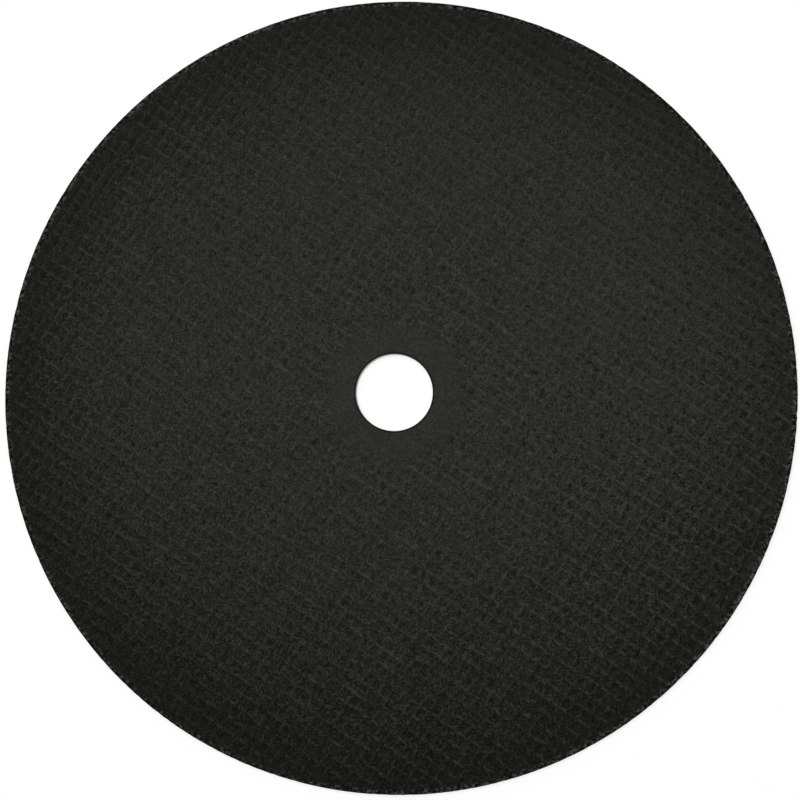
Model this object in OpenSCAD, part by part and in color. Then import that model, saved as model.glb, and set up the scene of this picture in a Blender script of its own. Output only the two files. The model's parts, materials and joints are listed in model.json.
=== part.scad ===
// Flat cut-off wheel: resin-bonded abrasive, pressed in one piece with a woven glass mesh in each face.
// The wheel lies on its back face. Its axis is +Z, and the origin is the bore's centre on that face.

/* [Wheel] */
// Outside diameter of the wheel
wheel_d = 230; // [100:1:400]
// Thickness over the two clamping lands
wheel_t = 3; // [2:0.1:8]
// Radius on the two edges of the rim
rim_round = 0.4; // [0.1:0.05:0.6]

/* [Arbor] */
// Diameter of the arbor bore
bore_d = 22.23; // [10:0.01:50]
// Radius on the two edges of the bore
bore_round = 0.2; // [0.05:0.05:0.5]
// Width of the smooth land round the bore, where the flanges clamp
land_w = 7; // [4:0.5:20]
// Width of the slope from the land down to the bed between the yarns
land_slope_w = 1.5; // [0.5:0.1:4]

/* [Glass mesh] */
// Direction of the weft yarns, turned from +X
weft_angle = -33.5; // [-90:0.5:90]
// Distance from one weft yarn to the next
weft_pitch = 3.69; // [2.5:0.01:8]
// Distance from the wheel's axis to the middle weft yarn
weft_offset = -0.74; // [-1.8:0.01:1.8]
// Width of a weft yarn where it rises out of its bed
weft_w = 1.2; // [0.7:0.05:1.8]
// Height of a weft yarn over its bed
weft_h = 0.15; // [0.05:0.01:0.3]
// Depth of the yarns' crests below the land
crest_drop = 0.02; // [0.01:0.01:0.1]
// Plain margin between the yarns' ends and the rim
yarn_margin = 1; // [0.7:0.1:3]

/* [Hidden] */
$fn = 180;

// Colour of the black resin bond
bond_colour = [0.17, 0.175, 0.155];
// Depth that a yarn is sunk into its bed
yarn_root = 0.1;
// Reach of a cutting shape past the face it cuts
spare = 1;

wheel_r = wheel_d / 2;
bore_r = bore_d / 2;
land_r = bore_r + land_w;
// Heights over the wheel's middle plane
land_z = wheel_t / 2;
crest_z = land_z - crest_drop;
bed_z = crest_z - weft_h;
// A yarn shows as the cap of a round rod, weft_w wide and weft_h high
weft_rod_r = ((weft_w / 2) ^ 2 + weft_h ^ 2) / (2 * weft_h);
// The yarns run from under the land out to the margin at the rim
yarn_in_r = bore_r + land_w / 2;
yarn_out_r = wheel_r - yarn_margin;
weft_count = floor((yarn_out_r - weft_w - abs(weft_offset)) / weft_pitch);

// What rounding takes off a corner that points to +X and +Y
module corner_waste(r) {
    difference() {
        translate([-r, -r]) square(r + spare);
        translate([-r, -r]) circle(r);
    }
}

// Section of the pressed body on one side of the axis, about its middle plane
module body_section() {
    upper = [
        [bore_r, land_z],
        [land_r, land_z],
        [land_r + land_slope_w, bed_z],
        [wheel_r, bed_z]
    ];
    lower = [for (i = [len(upper) - 1 : -1 : 0]) [upper[i][0], -upper[i][1]]];
    difference() {
        polygon(concat(upper, lower));
        for (side = [0, 1]) mirror([0, side]) {
            translate([wheel_r, bed_z]) corner_waste(rim_round);
            translate([bore_r, land_z]) mirror([1, 0]) corner_waste(bore_round);
        }
    }
}

// Section of a weft yarn, with its crest at the origin
module weft_section() {
    intersection() {
        translate([0, -weft_rod_r]) circle(weft_rod_r);
        translate([-weft_rod_r, -weft_h - yarn_root]) square([2 * weft_rod_r, weft_h + yarn_root + spare]);
    }
}

// Where the yarn at a distance y from the axis starts and ends along its own direction
function weft_spans(y) =
    let (
        far = sqrt(yarn_out_r ^ 2 - (abs(y) + weft_w / 2) ^ 2),
        near = abs(y) < yarn_in_r ? sqrt(yarn_in_r ^ 2 - y ^ 2) : 0
    )
    near > 0 ? [[-far, -near], [near, far]] : [[-far, far]];

// Weft yarns of the mesh in the upper face
module weft_yarns() {
    rotate(weft_angle)
        for (i = [-weft_count : weft_count])
            let (y = weft_offset + i * weft_pitch)
                for (span = weft_spans(y))
                    translate([span[0], y, crest_z])
                        rotate([90, 0, 90])
                            linear_extrude(span[1] - span[0]) weft_section();
}

module wheel() {
    color(bond_colour) translate([0, 0, land_z]) {
        rotate_extrude() body_section();
        weft_yarns();
        mirror([0, 0, 1]) weft_yarns();
    }
}

wheel();
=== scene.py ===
"""Looks of a flat cut-off wheel: black bonded abrasive with a woven glass mesh pressed into both faces."""
import json
import math

import bmesh
import bpy
import numpy as np
from mathutils import Matrix, Vector


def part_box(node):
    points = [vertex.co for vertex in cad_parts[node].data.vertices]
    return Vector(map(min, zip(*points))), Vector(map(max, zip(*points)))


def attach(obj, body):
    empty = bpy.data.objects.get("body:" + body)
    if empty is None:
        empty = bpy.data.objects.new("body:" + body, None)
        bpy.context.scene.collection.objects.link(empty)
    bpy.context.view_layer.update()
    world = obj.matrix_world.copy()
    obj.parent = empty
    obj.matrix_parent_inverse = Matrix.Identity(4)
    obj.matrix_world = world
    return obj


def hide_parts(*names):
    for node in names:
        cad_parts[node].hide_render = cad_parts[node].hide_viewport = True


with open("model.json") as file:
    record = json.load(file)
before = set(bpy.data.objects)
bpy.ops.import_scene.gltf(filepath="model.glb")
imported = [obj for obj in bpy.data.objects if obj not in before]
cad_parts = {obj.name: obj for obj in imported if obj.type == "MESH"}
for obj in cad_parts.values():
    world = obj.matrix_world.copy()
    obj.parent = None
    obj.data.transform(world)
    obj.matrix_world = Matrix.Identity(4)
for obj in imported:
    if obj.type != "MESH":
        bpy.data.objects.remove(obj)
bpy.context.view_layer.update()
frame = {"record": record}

MM = 0.001


def heading(degrees):
    """Direction in the plane of the face, turned from +X."""
    return Vector((math.cos(math.radians(degrees)), math.sin(math.radians(degrees))))


# Wheel, from the frame. The rounded edges and the land's width are those of the part's source.
LOW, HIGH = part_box("wheel")
MOUNTS = {mount["name"]: mount for mount in frame["record"]["mounts"]}
WHEEL_R = min(-LOW.x, -LOW.y, HIGH.x, HIGH.y)
TOP_Z = HIGH.z
BOTTOM_Z = LOW.z
MIDDLE_Z = (TOP_Z + BOTTOM_Z) / 2
BORE_R = MOUNTS["arbor_bore"]["dims"]["r_mm"] * MM
RIM_ROUND = 0.4 * MM
BORE_ROUND = 0.2 * MM
LAND_R = BORE_R + 7 * MM

# Glass mesh: single weft yarns, crossed by warp pairs that twist round each other
WEFT_ANGLE = math.radians(-33.5)
WEFT_PITCH = 3.69 * MM
WEFT_OFFSET = -0.74 * MM
WARP_PITCH = 2.97 * MM
WARP_OFFSET = -0.80 * MM
# Swing of the twisted warp to each side, in pitches
TWIST_SWING = 0.06
# Lengths of the waves in which the yarns wander, and how far they go along X and Y in each
DRIFT_WIDE = 90 * MM
DRIFT_FINE = 37 * MM
DRIFT_WIDE_X = 0.16 * MM
DRIFT_WIDE_Y = 0.18 * MM
DRIFT_FINE_X = 0.07 * MM
DRIFT_FINE_Y = 0.08 * MM

# Relief: depth of the pits between yarns, a yarn's half width in pitches, crests as shares of the depth
PIT_DEPTH = 0.05 * MM
YARN_SIGMA = 0.16
WEFT_HEIGHT = 0.78
WARP_HEIGHT = 0.82
UNEVEN = 0.02 * MM
# The print sets in outside the land, and fades along the rim to a share of its depth
LAND_SLOPE = 3 * MM
RIM_FADE = 4 * MM
RIM_KEEP = 0.45
# It swells and fades in broad waves
SWELL_MEAN = 0.9
SWELL_SWING = 0.12
SWELL_X = 23 * MM
SWELL_Y = 19 * MM
# It is faintest on one side of the wheel, and so is the grit
FAINT_SIDE = heading(68)
FAINT_WEAVE = 0.2
FAINT_GRIT_AND_GLINTS = 0.25

# How clearly the yarns show: the weft along one diameter and to the lower right, the warp near the hub
CLEAR_AXIS = heading(-20)
WEFT_CLEAR = 1.17
WEFT_AXIS_GAIN = 0.3
WEFT_CORNER_GAIN = 0.2
WARP_CLEAR = 1.07
WARP_RIM_LOSS = 0.29

# Strength of the grit with its painted glints, and tone of the bond, each at shares of the wheel's radius;
# the tone's fall at the rim is painted shade
GRIT_AND_GLINT_AT = ((0.16, 0.70), (0.18, 0.92), (0.45, 0.94), (0.85, 0.90), (0.93, 0.62), (0.97, 0.48))
TONE_AND_RIM_SHADE_AT = ((0.16, 0.305), (0.40, 0.318), (0.70, 0.39), (0.82, 0.378), (0.97, 0.262))
# Painted shade: the bond is slightly darker towards the faint side, and in a band along the rim on the
# shaded side
SHADE_LEAN = 0.025
SHADED_SIDE = heading(168)
DARK_BAND_START = 0.85
DARK_BAND_RISE = 0.12
DARK_BAND_DEPTH = 0.13
DARK_BAND_FOCUS = 8

# Mesh lines in each pitch: a yarn's crest and its feet, and on the top face the pit's middle too
TOP_STEPS = (-0.23, 0.0, 0.23, 0.5)
BOTTOM_STEPS = (-0.3, 0.0, 0.3)
# Mesh points this close to the edge of a face are moved onto it
SNAP = 0.08 * MM
RIM_POINTS = 640
BORE_POINTS = 120
# Depth of a ring that keeps the shading of the bore's rounded edge off its wall
BORE_EDGE = 1.3 * BORE_ROUND
# Wear of the rim, and the level of a random draw above which a point is chipped
RAGGED = 0.10 * MM
CHIP_ABOVE = 0.985
SEED = 7

# Noises in the material: grain sizes, and for some the detail, contrast or swirl
GRIT = 1.0 * MM
GRIT_DETAIL = 2.0
GRIT_CONTRAST = 0.7
GRIT_SWIRL = 0.6
FINE_GRIT = 0.5 * MM
WOBBLE = 1.6 * MM
PATCH = 4 * MM
BREAK = 1.3 * MM
DOT = 0.85 * MM
DOT_SWIRL = 0.8
# Weights of what makes up the grain, and the share of its coarse part inside a radius and at the rim
GRIT_WEIGHT = 2.0
PATCH_WEIGHT = 0.55
FINE_WEIGHT = 1.75
STRAND_WEIGHT = 0.4
COARSE_MIDDLE = 0.9
COARSE_RIM = 0.4
COARSE_FADE_R = 0.5 * WHEEL_R
# Lines of the yarns in the material, in pitches: half width, half width of what the dots keep off, wander
LINE_SIGMA = 0.055
GAP_SIGMA = 0.15
LINE_WANDER = 0.25
# Levels of the noise at which a line is gone and whole, and at which a dot starts and is full
LINE_LEVELS = (0.40, 0.62)
DOT_LEVELS = (0.46, 0.38)
# Strength of the lines, partly painted highlight, of the dots between them, which are painted shade, and the
# share of a dot that is left on a line
LINE_STRENGTH = 0.59
DOT_STRENGTH = 0.57
DOT_ON_LINE = 0.25
# Loose strands: half width as a difference of noise, and how much longer than wide their curls are
STRAND_WIDTH = 0.03
STRAND_STRETCH = 2.0
STRAND_SWIRL = 1.0

# Colours, from the darkest to the palest tone of the bond, and on the edges
BOND_DARK = (0.0024, 0.0025, 0.0013, 1)
BOND_PALE = (0.034, 0.035, 0.0293, 1)
FLECK_COLOUR = (0.085, 0.086, 0.081, 1)
# Dark of the rim's chips, also painted shade on the bore's rounded lip
CHIP_AND_LIP_SHADE_COLOUR = (0.0008, 0.0008, 0.0008, 1)
# Painted light: pale grey on the black bore wall, for the light it reflects
WALL_PAINTED_LIGHT = (0.35, 0.35, 0.34, 1)
# Flecks and chips on the rim: their band, the levels of the grit that make them, and their strength
EDGE_BAND = 1.8 * MM
EDGE_FULL = 1.0 * MM
FLECK_LEVELS = (0.54, 0.62)
CHIP_LEVELS = (0.51, 0.45)
FLECK_STRENGTH = 0.82
CHIP_STRENGTH = 0.70
# Diameter at whose two ends the flecks are thickest, and what that adds to the grit's level
WORN_AXIS = heading(-38)
WORN_GAIN = 0.04
# Bore wall, painted pale as light, and the lip round it, painted dark as shade, by distance from the bore
WALL_FULL = 0.3 * BORE_ROUND
WALL_END = 0.6 * BORE_ROUND
LIP_FULL = 1.5 * BORE_ROUND
LIP_END = 3 * BORE_ROUND

# Gloss of the bond, and what dots, chips and the bore wall add to its roughness
ROUGHNESS = 0.25
DOT_ROUGHNESS = 0.3
CHIP_ROUGHNESS = 0.45
WALL_ROUGHNESS = -0.14
SPECULAR = 0.046
SPECULAR_TINT = (0.97, 1.0, 0.82, 1)
BUMP_DEPTH = 0.01 * MM

# Floor and light
FLOOR_SIZE = 12.0
FLOOR_GAP = 0.02 * MM
FLOOR_GREY = (0.35, 0.35, 0.35, 1)
FLOOR_GLOW = 0.735
WORLD_LIGHT = 0.3
# The backdrop is white up to the first height and ends at the second, as sines of the angle over the horizon
BACKDROP_WHITE = 0.35
BACKDROP_END = 0.95
LAMP_WIDTH = 0.60
LAMP_DEPTH = 0.44
LAMP_POWER = 4.0
LAMP_PLACE = Vector((-0.038, 0.090, 0.80))

# Photographic view: the place of the camera over the face and the point that it looks at
PICTURE_PX = 800
FOCAL_PX = 1714.4
SENSOR_MM = 36.0
CLIP_START = 0.01
EYE = Vector((40.4, -33.6, 492.6)) * MM
AIM = Vector((1.68, -2.20, 0.0)) * MM


# Shape of the face

def yarn_drift(x, y):
    """How far the yarns wander across the face from straight lines."""
    # The phases and slants only keep the waves from lining up
    wide = 2 * math.pi / DRIFT_WIDE
    fine = 2 * math.pi / DRIFT_FINE
    dx = DRIFT_WIDE_X * np.sin(wide * y + 0.7) + DRIFT_FINE_X * np.sin(fine * (x + 0.4 * y) + 2.1)
    dy = DRIFT_WIDE_Y * np.sin(wide * x + 1.9) + DRIFT_FINE_Y * np.sin(fine * (y - 0.5 * x) + 0.3)
    return dx, dy


def weave_turns(x, y):
    """Counts of weft yarns and of warp pairs from the first of each, at a point of the face."""
    dx, dy = yarn_drift(x, y)
    x, y = x - dx, y - dy
    across = y * math.cos(WEFT_ANGLE) - x * math.sin(WEFT_ANGLE)
    along = x * math.cos(WEFT_ANGLE) + y * math.sin(WEFT_ANGLE)
    weft = (across - WEFT_OFFSET) / WEFT_PITCH
    warp = (along - WARP_OFFSET) / WARP_PITCH
    return weft, warp + TWIST_SWING * np.sin(math.pi * weft)


def yarn_profile(turns):
    """Height of a round yarn, 1 on its crest and near 0 midway to the next."""
    off = turns - np.round(turns)
    return np.exp(-0.5 * (off / YARN_SIGMA) ** 2)


def towards(direction, x, y):
    """How far a point lies in a direction from the axis, as a share of the wheel's radius."""
    return (x * direction.x + y * direction.y) / WHEEL_R


def faintness(x, y):
    """1 at the rim on one side of the wheel, falling to 0 at the middle."""
    return np.clip(towards(FAINT_SIDE, x, y), 0, 1)


def weave_strength(x, y):
    """Depth of the mesh print: none on the land, less along the rim and on the faint side."""
    r = np.hypot(x, y)
    off_land = np.clip((r - LAND_R) / LAND_SLOPE, 0, 1)
    at_rim = np.clip((r - WHEEL_R + RIM_FADE) / RIM_FADE, 0, 1)
    swell = SWELL_MEAN + SWELL_SWING * np.sin(x / SWELL_X + 1.3) * np.sin(y / SWELL_Y + 0.4)
    return off_land * swell * (1 - (1 - RIM_KEEP) * at_rim) * (1 - FAINT_WEAVE * faintness(x, y))


def yarn_prints(x, y):
    """How clearly the weft and the warp show in the material, as pale lines with painted highlight; the
    weft's also scales the dots of painted shade.
    """
    strength = weave_strength(x, y)
    lean = towards(CLEAR_AXIS, x, y)
    across = towards(CLEAR_AXIS.orthogonal(), x, y)
    to_corner = (x - y) / WHEEL_R
    weft = WEFT_CLEAR + WEFT_AXIS_GAIN * (lean ** 2 - across ** 2) + WEFT_CORNER_GAIN * to_corner
    warp = WARP_CLEAR - WARP_RIM_LOSS * np.hypot(x, y) / WHEEL_R
    return strength * weft, strength * warp


def by_radius(pairs, r):
    """Value at a radius, between those given at shares of the wheel's radius."""
    shares, values = np.transpose(pairs)
    return np.interp(r, shares * WHEEL_R, values)


def grit_and_glint_strength(x, y):
    """How strongly the grit and its painted glints show: less on the land, most outside it, and less again
    at the rim.
    """
    return by_radius(GRIT_AND_GLINT_AT, np.hypot(x, y)) * (1 - FAINT_GRIT_AND_GLINTS * faintness(x, y))


def bond_tone_and_painted_shade(x, y):
    """Tone of the bond, with painted shade: palest midway to the rim, and darkest by the rim on the shaded
    side.
    """
    r = np.hypot(x, y)
    by_rim = np.clip((r / WHEEL_R - DARK_BAND_START) / DARK_BAND_RISE, 0, 1)
    facing_dark = np.clip((x * SHADED_SIDE.x + y * SHADED_SIDE.y) / r, 0, 1) ** DARK_BAND_FOCUS
    shade = by_radius(TONE_AND_RIM_SHADE_AT, r) - DARK_BAND_DEPTH * by_rim * facing_dark
    return shade - SHADE_LEAN * towards(FAINT_SIDE, x, y)


def sink(x, y, unevenness):
    """How far a point of the face lies below the land."""
    weft, warp = weave_turns(x, y)
    relief = 1 - (1 - WEFT_HEIGHT * yarn_profile(weft)) * (1 - WARP_HEIGHT * yarn_profile(warp))
    return weave_strength(x, y) * (PIT_DEPTH * (1 - relief) + unevenness)


# Mesh of the wheel

def lattice_lines(pitch, offset, steps, reach):
    """Places of the mesh lines across one set of yarns."""
    count = math.ceil(reach / pitch) + 1
    return np.array([offset + (i + s) * pitch for i in range(-count, count + 1) for s in steps])


def face_lattice(steps, inner_r, outer_r):
    """Grid that follows the yarns, trimmed to a ring: points, faces and the two rings of edge points."""
    across, along = np.meshgrid(
        lattice_lines(WEFT_PITCH, WEFT_OFFSET, steps, outer_r),
        lattice_lines(WARP_PITCH, WARP_OFFSET, steps, outer_r),
        indexing="ij",
    )
    x = along * math.cos(WEFT_ANGLE) - across * math.sin(WEFT_ANGLE)
    y = along * math.sin(WEFT_ANGLE) + across * math.cos(WEFT_ANGLE)
    dx, dy = yarn_drift(x, y)
    x, y = x + dx, y + dy
    r = np.hypot(x, y)
    # 1 for points that are trimmed off, 0 for points on an edge, and -1 for points that stay
    side = np.where((r > outer_r) | (r < inner_r), 1, -1)
    for edge_r in (inner_r, outer_r):
        near = np.abs(r - edge_r) < SNAP
        x[near] *= edge_r / r[near]
        y[near] *= edge_r / r[near]
        side[near] = 0
    ids = np.arange(x.size).reshape(x.shape)
    corners = np.stack([ids[:-1, :-1], ids[:-1, 1:], ids[1:, 1:], ids[1:, :-1]], axis=-1)
    corners = corners.reshape(-1, 4)
    side = side.ravel()
    sides = side[corners]
    whole = corners[(sides <= 0).all(axis=1)]
    cut = corners[(sides == 1).any(axis=1) & (sides == -1).any(axis=1)]
    points = list(zip(x.ravel(), y.ravel()))
    crossings = {}

    def crossing(a, b):
        """Point where the line from a to b meets the edge, made once for both its faces."""
        key = (min(a, b), max(a, b))
        if key not in crossings:
            inside, outside = (a, b) if side[a] < 0 else (b, a)
            p, q = np.array(points[inside]), np.array(points[outside])
            rp, rq = np.hypot(*p), np.hypot(*q)
            edge_r = outer_r if rq > outer_r else inner_r
            m = p + (q - p) * (edge_r - rp) / (rq - rp)
            crossings[key] = len(points)
            points.append(tuple(m * edge_r / np.hypot(*m)))
        return crossings[key]

    faces = whole.tolist()
    for quad in cut.tolist():
        loop = []
        for a, b in zip(quad, quad[1:] + quad[:1]):
            if side[a] <= 0:
                loop.append(a)
            if side[a] * side[b] < 0:
                loop.append(crossing(a, b))
        if len(loop) > 2:
            faces.append(loop)
    used = sorted({i for face in faces for i in face})
    new_id = {old: new for new, old in enumerate(used)}
    faces = [[new_id[i] for i in face] for face in faces]
    xy = np.array([points[i] for i in used])
    on_edge = {new_id[i] for i in used if i >= x.size or side[i] == 0}
    radius = np.hypot(xy[:, 0], xy[:, 1])
    middle_r = (inner_r + outer_r) / 2
    inner = [i for i in on_edge if radius[i] < middle_r]
    outer = [i for i in on_edge if radius[i] > middle_r]
    return xy, faces, inner, outer


def ring(radius, z, count):
    """Evenly spaced points of a level circle."""
    a = np.arange(count) * 2 * math.pi / count
    return np.stack([radius * np.cos(a), radius * np.sin(a), np.full(count, z)], axis=1)


def ragged_ring(radius, z, count, rng):
    """A ring of the rim, worn inwards by a fine unevenness and by a few chips."""
    points = ring(1.0, z, count)
    wear = RAGGED * rng.random(count) ** 3
    chips = rng.random(count) > CHIP_ABOVE
    wear[chips] += RAGGED * (1 + rng.random(chips.sum()))
    points[:, :2] *= (radius - wear)[:, None]
    return points


def zip_rings(points, ring_a, ring_b):
    """Triangles between two rings of points with different counts."""
    def by_angle(ids):
        return sorted((math.atan2(points[i][1], points[i][0]), i) for i in ids)

    a, b = by_angle(ring_a), by_angle(ring_b)
    triangles = []
    i = j = 0
    while i < len(a) or j < len(b):
        next_a = a[i + 1][0] if i + 1 < len(a) else a[0][0] + 2 * math.pi
        next_b = b[j + 1][0] if j + 1 < len(b) else b[0][0] + 2 * math.pi
        if j >= len(b) or (i < len(a) and next_a <= next_b):
            triangles.append([a[i][1], a[(i + 1) % len(a)][1], b[j % len(b)][1]])
            i += 1
        else:
            triangles.append([a[i % len(a)][1], b[(j + 1) % len(b)][1], b[j][1]])
            j += 1
    return triangles


def rim_section():
    """Radius and height of each ring of the rim, from the top down."""
    corner = RIM_ROUND * (1 - math.sqrt(0.5))
    top = TOP_Z - PIT_DEPTH * RIM_KEEP
    bottom = BOTTOM_Z + PIT_DEPTH * RIM_KEEP
    return (
        (WHEEL_R - corner, top - corner),
        (WHEEL_R, top - RIM_ROUND),
        (WHEEL_R, MIDDLE_Z),
        (WHEEL_R, bottom + RIM_ROUND),
        (WHEEL_R - corner, bottom + corner),
    )


def bore_section():
    """Radius and height of each ring of the bore, from the top down."""
    corner = BORE_ROUND * (1 - math.sqrt(0.5))
    return (
        (BORE_R + corner, TOP_Z - corner),
        (BORE_R, TOP_Z - BORE_ROUND),
        (BORE_R, TOP_Z - BORE_EDGE),
        (BORE_R, BOTTOM_Z + BORE_EDGE),
        (BORE_R, BOTTOM_Z + BORE_ROUND),
        (BORE_R + corner, BOTTOM_Z + corner),
    )


def wheel_surface():
    """Points and faces of the wheel: two sides on the yarns' grid, joined at the rim and in the bore."""
    rng = np.random.default_rng(SEED)
    points = []
    faces = []
    edges = {}

    def add_points(new):
        start = len(points)
        points.extend(new.tolist())
        return list(range(start, len(points)))

    for name, steps, level, down in (("top", TOP_STEPS, TOP_Z, -1), ("bottom", BOTTOM_STEPS, BOTTOM_Z, 1)):
        xy, loops, inner, outer = face_lattice(steps, BORE_R + BORE_ROUND, WHEEL_R - RIM_ROUND)
        uneven = UNEVEN * rng.random(len(xy))
        z = level + down * sink(xy[:, 0], xy[:, 1], uneven)
        ids = add_points(np.column_stack([xy, z]))
        faces += [[ids[i] for i in loop] for loop in loops]
        edges[name] = [ids[i] for i in inner], [ids[i] for i in outer]
    rim = [add_points(ragged_ring(r, z, RIM_POINTS, rng)) for r, z in rim_section()]
    bore = [add_points(ring(r, z, BORE_POINTS)) for r, z in bore_section()]
    for rings, edge in ((bore, 0), (rim, 1)):
        faces += zip_rings(points, edges["top"][edge], rings[0])
        faces += zip_rings(points, rings[-1], edges["bottom"][edge])
        for upper, lower in zip(rings, rings[1:]):
            turned_upper, turned_lower = upper[1:] + upper[:1], lower[1:] + lower[:1]
            faces += [list(quad) for quad in zip(upper, turned_upper, turned_lower, lower)]
    return np.array(points), faces


def store_values(mesh, points):
    """Puts what the material has to know of each point into the mesh."""
    x, y = points[:, 0], points[:, 1]
    weft_turns, warp_turns = weave_turns(x, y)
    weft_print, warp_print = yarn_prints(x, y)
    values = {
        "weft_turns": weft_turns,
        "warp_turns": warp_turns,
        "weft_print": weft_print,
        "warp_print": warp_print,
        "grit_and_glint_strength": grit_and_glint_strength(x, y),
        "bond_tone_and_painted_shade": bond_tone_and_painted_shade(x, y),
    }
    for name, numbers in values.items():
        attribute = mesh.attributes.new(name, "FLOAT", "POINT")
        attribute.data.foreach_set("value", numbers.astype(np.float32))


def wheel_mesh():
    points, faces = wheel_surface()
    mesh = bpy.data.meshes.new("wheel_body")
    mesh.from_pydata(points.tolist(), [], faces)
    shell = bmesh.new()
    shell.from_mesh(mesh)
    bmesh.ops.recalc_face_normals(shell, faces=shell.faces)
    shell.to_mesh(mesh)
    shell.free()
    mesh.shade_smooth()
    store_values(mesh, points)
    return mesh


# Shader building

def add_node(tree, kind, settings=None, inputs=None):
    node = tree.nodes.new(kind)
    for key, value in (settings or {}).items():
        setattr(node, key, value)
    for key, value in (inputs or {}).items():
        if isinstance(value, bpy.types.NodeSocket):
            tree.links.new(value, node.inputs[key])
        else:
            node.inputs[key].default_value = value
    return node


def calc(tree, operation, *values):
    inputs = dict(enumerate(values))
    return add_node(tree, "ShaderNodeMath", {"operation": operation}, inputs).outputs[0]


def total(tree, *parts):
    value = parts[0]
    for part in parts[1:]:
        value = calc(tree, "ADD", value, part)
    return value


def times(tree, a, b):
    return calc(tree, "MULTIPLY", a, b)


def less(tree, a, b):
    return calc(tree, "SUBTRACT", a, b)


def larger(tree, a, b):
    return calc(tree, "MAXIMUM", a, b)


def remap(tree, value, low, high, to_low, to_high):
    inputs = {"Value": value, "From Min": low, "From Max": high, "To Min": to_low, "To Max": to_high}
    return add_node(tree, "ShaderNodeMapRange", {}, inputs).outputs[0]


def mix_colour(tree, factor, a, b):
    # The colour sockets of this node share their names with others, so they go by number
    inputs = {0: factor, 6: a, 7: b}
    return add_node(tree, "ShaderNodeMix", {"data_type": "RGBA"}, inputs).outputs[2]


def attribute_value(tree, name):
    return add_node(tree, "ShaderNodeAttribute", {"attribute_name": name}).outputs["Fac"]


def noise(tree, place, size, detail=1.0, roughness=0.6, distortion=0.0):
    inputs = {
        "Vector": place,
        "Scale": 1 / size,
        "Detail": detail,
        "Roughness": roughness,
        "Distortion": distortion,
    }
    return add_node(tree, "ShaderNodeTexNoise", {}, inputs).outputs["Fac"]


def near_turn(tree, turns, sigma):
    """1 where the count of turns is whole, and 0 between."""
    off = less(tree, calc(tree, "FRACT", calc(tree, "ADD", turns, 0.5)), 0.5)
    square = calc(tree, "POWER", calc(tree, "DIVIDE", calc(tree, "ABSOLUTE", off), sigma), 2.0)
    return calc(tree, "EXPONENT", times(tree, square, -0.5))


# Material of the wheel

def strands(tree, across, along, level):
    """Thin wandering threads, drawn out along the lines on which the first count stays the same."""
    stretched = times(tree, across, STRAND_STRETCH)
    grid = add_node(tree, "ShaderNodeCombineXYZ", {}, {"X": stretched, "Y": along, "Z": level})
    value = noise(tree, grid.outputs[0], 1.0, distortion=STRAND_SWIRL)
    return remap(tree, calc(tree, "ABSOLUTE", less(tree, value, 0.5)), 0.0, STRAND_WIDTH, 1.0, 0.0)


def weave_marks(tree, place):
    """Broken pale lines of the yarns, partly worn yarn crests and partly painted highlight, dark dots of
    painted shade in the pits between them, and strands along both.
    """
    wander = remap(tree, noise(tree, place, WOBBLE), 0.0, 1.0, -LINE_WANDER, LINE_WANDER)
    weft_turns = calc(tree, "ADD", attribute_value(tree, "weft_turns"), wander)
    warp_turns = less(tree, attribute_value(tree, "warp_turns"), wander)
    weft_print = attribute_value(tree, "weft_print")
    warp_print = attribute_value(tree, "warp_print")

    weft = times(tree, near_turn(tree, weft_turns, LINE_SIGMA), weft_print)
    warp = times(tree, near_turn(tree, warp_turns, LINE_SIGMA), warp_print)
    whole = remap(tree, noise(tree, place, BREAK), *LINE_LEVELS, 0.0, LINE_STRENGTH)
    # Pale yarn lines: partly worn yarn crests, partly painted highlight
    worn_yarn_and_highlight = times(tree, larger(tree, weft, warp), whole)

    dots = remap(tree, noise(tree, place, DOT, distortion=DOT_SWIRL), *DOT_LEVELS, 0.0, 1.0)
    on_weft = near_turn(tree, weft_turns, GAP_SIGMA)
    on_warp = near_turn(tree, warp_turns, GAP_SIGMA)
    between = less(tree, 1.0, larger(tree, on_weft, on_warp))
    kept = remap(tree, between, 0.0, 1.0, DOT_ON_LINE, 1.0)
    # Dark dots in the pits between the yarns: painted shade
    shaded_pits = times(tree, times(tree, dots, kept), times(tree, weft_print, DOT_STRENGTH))

    weft_strands = strands(tree, weft_turns, warp_turns, 0.0)
    warp_strands = strands(tree, warp_turns, weft_turns, 7.0)
    return worn_yarn_and_highlight, shaded_pits, total(tree, weft_strands, warp_strands)


def grit_and_glint_marks(tree, place, radius, grit, strand):
    """Grit of the bond, above and below its tone: partly the grit's own tone and partly painted glints and
    painted shade among the grains.
    """
    def weighted(value, weight):
        return times(tree, less(tree, value, 0.5), weight)

    patches = noise(tree, place, PATCH)
    fine_grit = noise(tree, place, FINE_GRIT)
    coarse = total(tree, weighted(grit, GRIT_WEIGHT), weighted(patches, PATCH_WEIGHT))
    fine = total(tree, weighted(fine_grit, FINE_WEIGHT), weighted(strand, STRAND_WEIGHT))
    share = remap(tree, radius, COARSE_FADE_R, WHEEL_R, COARSE_MIDDLE, COARSE_RIM)
    grit_and_glints = total(tree, times(tree, coarse, share), fine)
    return times(tree, grit_and_glints, attribute_value(tree, "grit_and_glint_strength"))


def rim_marks(tree, spot, radius, grit):
    """Pale flecks and dark chips along the cut edge of the rim."""
    at_edge = remap(tree, radius, WHEEL_R - EDGE_BAND, WHEEL_R - EDGE_FULL, 0.0, 1.0)
    along_worn = total(tree, times(tree, spot["X"], WORN_AXIS.x), times(tree, spot["Y"], WORN_AXIS.y))
    lean = calc(tree, "DIVIDE", along_worn, WHEEL_R)
    wear = times(tree, calc(tree, "POWER", lean, 2.0), WORN_GAIN)
    fleck = remap(tree, total(tree, grit, wear), *FLECK_LEVELS, 0.0, FLECK_STRENGTH)
    dark_edge_marks = remap(tree, grit, *CHIP_LEVELS, 0.0, CHIP_STRENGTH)
    return times(tree, at_edge, fleck), times(tree, at_edge, dark_edge_marks)


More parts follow.
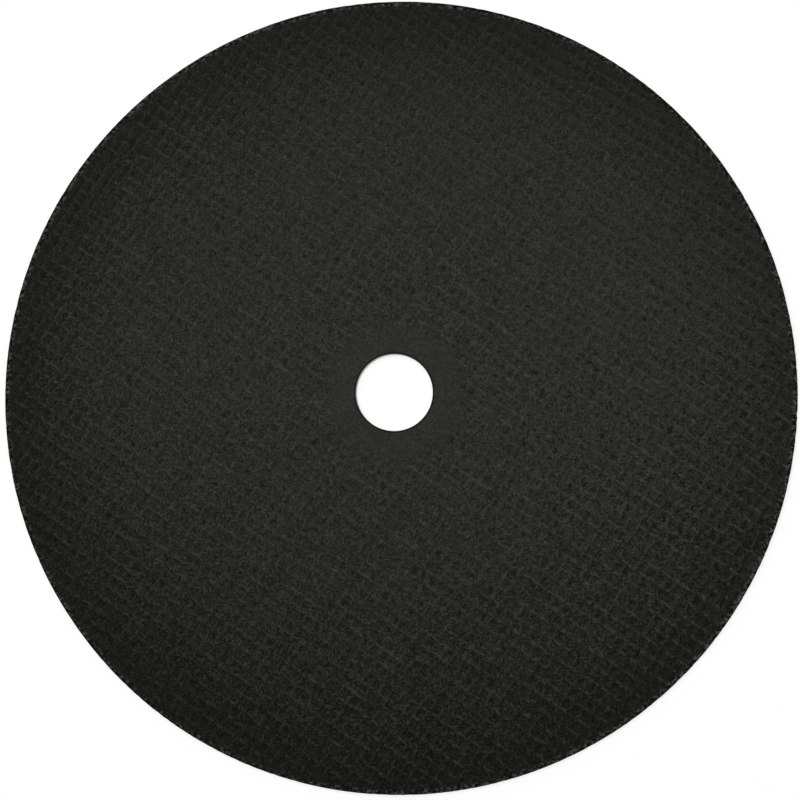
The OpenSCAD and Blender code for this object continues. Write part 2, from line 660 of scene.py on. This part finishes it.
def abrasive_material():
    material = bpy.data.materials.new("bonded_abrasive")
    material.use_nodes = True
    tree = material.node_tree
    shader = tree.nodes["Principled BSDF"]
    place = add_node(tree, "ShaderNodeTexCoord").outputs["Object"]
    spot = add_node(tree, "ShaderNodeSeparateXYZ", {}, {"Vector": place}).outputs
    squares = total(tree, calc(tree, "POWER", spot["X"], 2.0), calc(tree, "POWER", spot["Y"], 2.0))
    radius = calc(tree, "SQRT", squares)
    # Painted light on the bore wall, and painted shade on the rounded lip round it
    on_wall = remap(tree, radius, BORE_R + WALL_FULL, BORE_R + WALL_END, 1.0, 0.0)
    round_bore = remap(tree, radius, BORE_R + LIP_FULL, BORE_R + LIP_END, 1.0, 0.0)
    lip_shade = less(tree, round_bore, on_wall)

    grit = noise(tree, place, GRIT, GRIT_DETAIL, GRIT_CONTRAST, GRIT_SWIRL)
    worn_yarn_and_highlight, shaded_pits, strand = weave_marks(tree, place)
    grit_and_glints = grit_and_glint_marks(tree, place, radius, grit, strand)
    # Tone of the bond with its painted shade, plus grit with painted glints and pale yarn lines with painted
    # highlight, less the dots of painted shade in the pits
    tone = less(tree, total(tree, attribute_value(tree, "bond_tone_and_painted_shade"), grit_and_glints, worn_yarn_and_highlight), shaded_pits)
    fleck, rim_chip = rim_marks(tree, spot, radius, grit)
    # Dark marks: the rim's chips, and the painted shade of the bore's lip
    dark_edge_marks = larger(tree, rim_chip, lip_shade)

    bond = mix_colour(tree, tone, BOND_DARK, BOND_PALE)
    flecked = mix_colour(tree, fleck, bond, FLECK_COLOUR)
    chipped_and_shaded = mix_colour(tree, dark_edge_marks, flecked, CHIP_AND_LIP_SHADE_COLOUR)
    colour = mix_colour(tree, on_wall, chipped_and_shaded, WALL_PAINTED_LIGHT)
    tree.links.new(colour, shader.inputs["Base Color"])

    roughness = total(
        tree,
        ROUGHNESS,
        times(tree, shaded_pits, DOT_ROUGHNESS),
        times(tree, dark_edge_marks, CHIP_ROUGHNESS),
        times(tree, on_wall, WALL_ROUGHNESS),
    )
    tree.links.new(roughness, shader.inputs["Roughness"])
    shader.inputs["Specular IOR Level"].default_value = SPECULAR
    shader.inputs["Specular Tint"].default_value = SPECULAR_TINT

    bump_inputs = {"Strength": less(tree, 1.0, on_wall), "Distance": BUMP_DEPTH, "Height": tone}
    bump = add_node(tree, "ShaderNodeBump", {}, bump_inputs)
    tree.links.new(bump.outputs["Normal"], shader.inputs["Normal"])
    return material


# Stage, light and camera

def seen_directly(tree):
    """1 for the rays that show the background itself, 0 for those that carry light."""
    rays = add_node(tree, "ShaderNodeLightPath").outputs
    mirrored = larger(tree, rays["Is Glossy Ray"], rays["Is Transmission Ray"])
    return larger(tree, rays["Is Camera Ray"], mirrored)


def floor():
    half = FLOOR_SIZE / 2
    z = BOTTOM_Z - FLOOR_GAP
    mesh = bpy.data.meshes.new("floor")
    corners = [(-half, -half, z), (half, -half, z), (half, half, z), (-half, half, z)]
    mesh.from_pydata(corners, [], [(0, 1, 2, 3)])
    obj = bpy.data.objects.new("floor", mesh)
    bpy.context.scene.collection.objects.link(obj)
    material = bpy.data.materials.new("floor_white")
    material.use_nodes = True
    tree = material.node_tree
    tree.nodes.clear()
    matte = add_node(tree, "ShaderNodeBsdfDiffuse", {}, {"Color": FLOOR_GREY})
    strength = times(tree, seen_directly(tree), FLOOR_GLOW)
    glow = add_node(tree, "ShaderNodeEmission", {}, {"Strength": strength})
    both = add_node(tree, "ShaderNodeAddShader", {}, {0: matte.outputs[0], 1: glow.outputs[0]})
    add_node(tree, "ShaderNodeOutputMaterial", {}, {"Surface": both.outputs[0]})
    mesh.materials.append(material)


def studio_world():
    """Even dim light from above, and white round the horizon where the backdrop stands."""
    world = bpy.data.worlds.new("studio")
    bpy.context.scene.world = world
    world.use_nodes = True
    tree = world.node_tree
    tree.nodes.clear()
    direction = add_node(tree, "ShaderNodeTexCoord").outputs["Generated"]
    up = add_node(tree, "ShaderNodeSeparateXYZ", {}, {"Vector": direction}).outputs["Z"]
    white = remap(tree, up, BACKDROP_WHITE, BACKDROP_END, 1.0, 0.0)
    backdrop = times(tree, seen_directly(tree), white)
    strength = total(tree, WORLD_LIGHT, times(tree, backdrop, 1 - WORLD_LIGHT))
    light = add_node(tree, "ShaderNodeBackground", {}, {"Strength": strength})
    add_node(tree, "ShaderNodeOutputWorld", {}, {"Surface": light.outputs[0]})


def facing(place, aim):
    """Pose at a place that looks down at the aim, with its own X axis along the frame's."""
    ahead = (aim - place).normalized()
    right = ahead.cross(Vector((0, 1, 0))).normalized()
    up = right.cross(ahead)
    return Matrix.Translation(place) @ Matrix((right, up, -ahead)).transposed().to_4x4()


def overhead_lamp():
    lamp = bpy.data.lights.new("overhead_lamp", "AREA")
    lamp.shape = "ELLIPSE"
    lamp.size = LAMP_WIDTH
    lamp.size_y = LAMP_DEPTH
    lamp.energy = LAMP_POWER
    obj = bpy.data.objects.new("overhead_lamp", lamp)
    obj.matrix_world = facing(LAMP_PLACE, Vector((0, 0, TOP_Z)))
    bpy.context.scene.collection.objects.link(obj)


def photo_camera():
    data = bpy.data.cameras.new("photo_camera")
    data.sensor_width = SENSOR_MM
    data.lens = FOCAL_PX / PICTURE_PX * SENSOR_MM
    data.clip_start = CLIP_START
    obj = bpy.data.objects.new("photo_camera", data)
    bpy.context.scene.collection.objects.link(obj)
    face = Vector((0, 0, TOP_Z))
    obj.matrix_world = facing(EYE + face, AIM + face)
    bpy.context.scene.camera = obj


photo_camera()
bpy.context.scene.view_settings.view_transform = "Standard"
studio_world()
overhead_lamp()
floor()

wheel = bpy.data.objects.new("wheel_body", wheel_mesh())
bpy.context.scene.collection.objects.link(wheel)
wheel.data.materials.append(abrasive_material())
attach(wheel, "root")
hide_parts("wheel")
